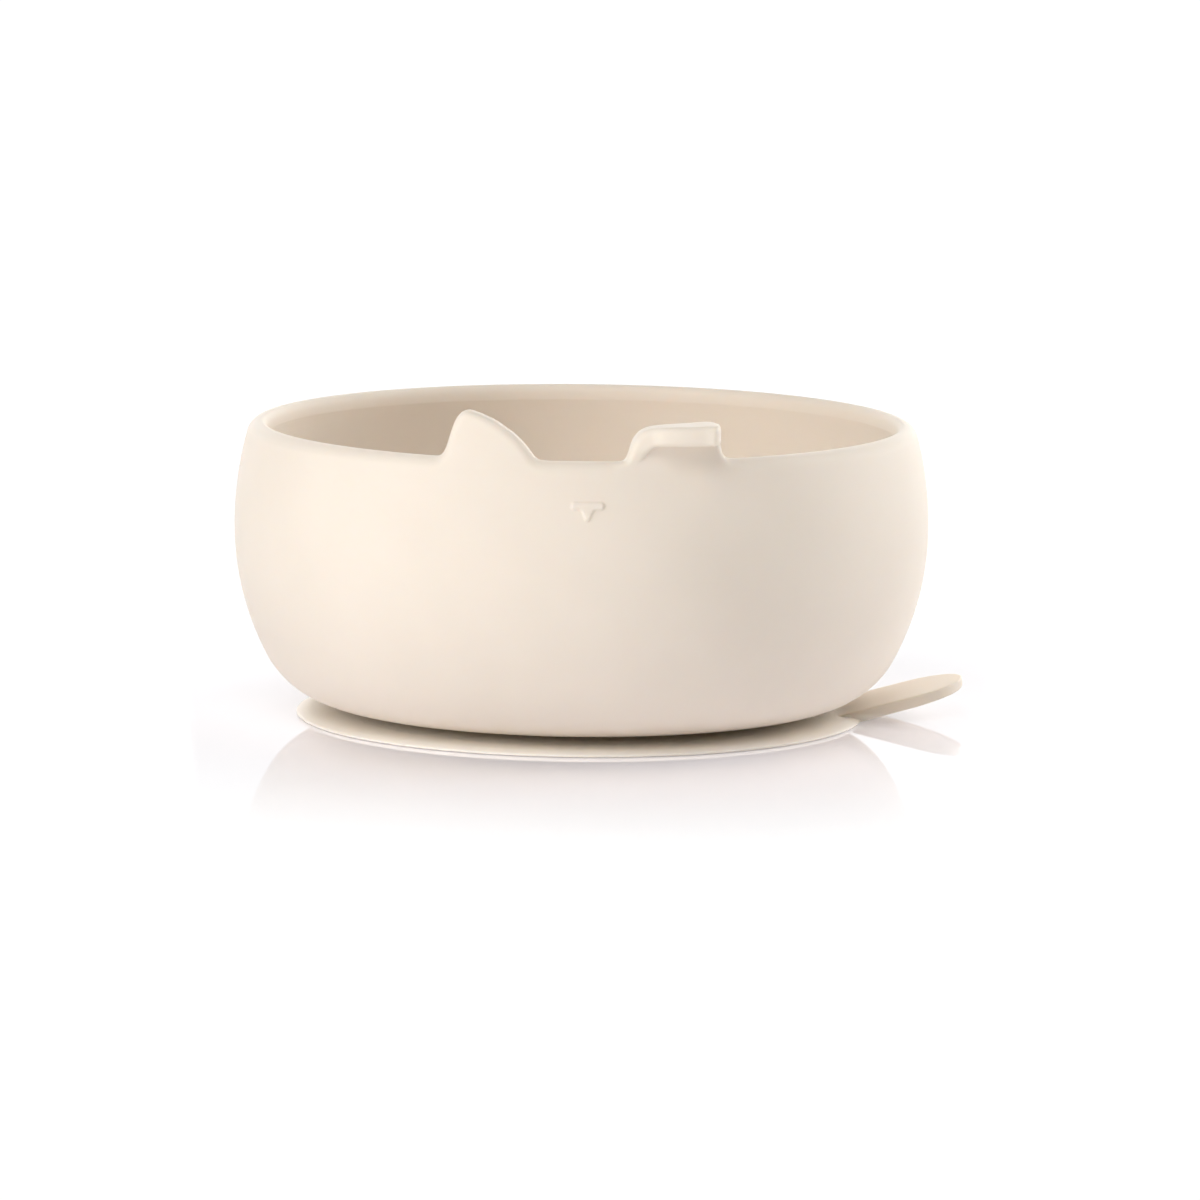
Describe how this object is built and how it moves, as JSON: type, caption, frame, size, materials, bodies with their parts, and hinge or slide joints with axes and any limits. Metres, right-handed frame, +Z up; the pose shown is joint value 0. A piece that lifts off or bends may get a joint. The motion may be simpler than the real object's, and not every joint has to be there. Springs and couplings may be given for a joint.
{
  "type": "suction bowl",
  "caption": "Round silicone toddler bowl with animal ears on the rim and a suction foot with a pull tab.",
  "frame": {"origin": "on the bowl's axis, in the plane of the table that the sealing lip stands on", "axes": "+Z up along the bowl's axis; -Y towards the face with the nose and ears; +X towards the pull tab"},
  "size_m": [0.1371, 0.13, 0.0642],
  "materials": {
    "bowl_silicone": "matte cream silicone",
    "foot_silicone": "matte cream silicone, slightly warmer where it is thin"
  },
  "bodies": {
    "sealing_lip": {"sealing_lip": "foot_silicone"},
    "suction_base": {"base_plug": "foot_silicone", "suction_web": "foot_silicone"},
    "bowl": {"bowl_shell": "bowl_silicone", "upright_ear": "bowl_silicone", "folded_ear_root": "bowl_silicone", "nose_relief": "bowl_silicone"},
    "ear_flap": {"folded_ear_flap": "bowl_silicone"},
    "release_tab": {"release_tab": "foot_silicone"}
  },
  "joints": [
    {"name": "press_down", "type": "slide", "parent": "sealing_lip", "child": "suction_base", "axis": [0, 0, 1], "range_m": [-0.0012, 0], "stiffness_N_per_m": 2000, "springref_m": 0.0012, "deforming": ["suction_web"]},
    {"name": "bowl_lift", "type": "slide", "parent": "suction_base", "child": "bowl", "axis": [0, 0, 1], "range_m": [0, 0.02]},
    {"name": "tab_peel", "type": "hinge", "parent": "sealing_lip", "child": "release_tab", "pos_m": [0.05328, 0.00279, 0.0015], "axis": [0.0523, -0.9986, 0], "range_deg": [-8, 30], "stiffness_Nm_per_rad": 0.015},
    {"name": "ear_flap_fold", "type": "hinge", "parent": "bowl", "child": "ear_flap", "pos_m": [0.0186, -0.05923, 0.0623], "axis": [-0.9541, -0.2996, 0], "range_deg": [0, 60], "stiffness_Nm_per_rad": 0.02}
  ]
}
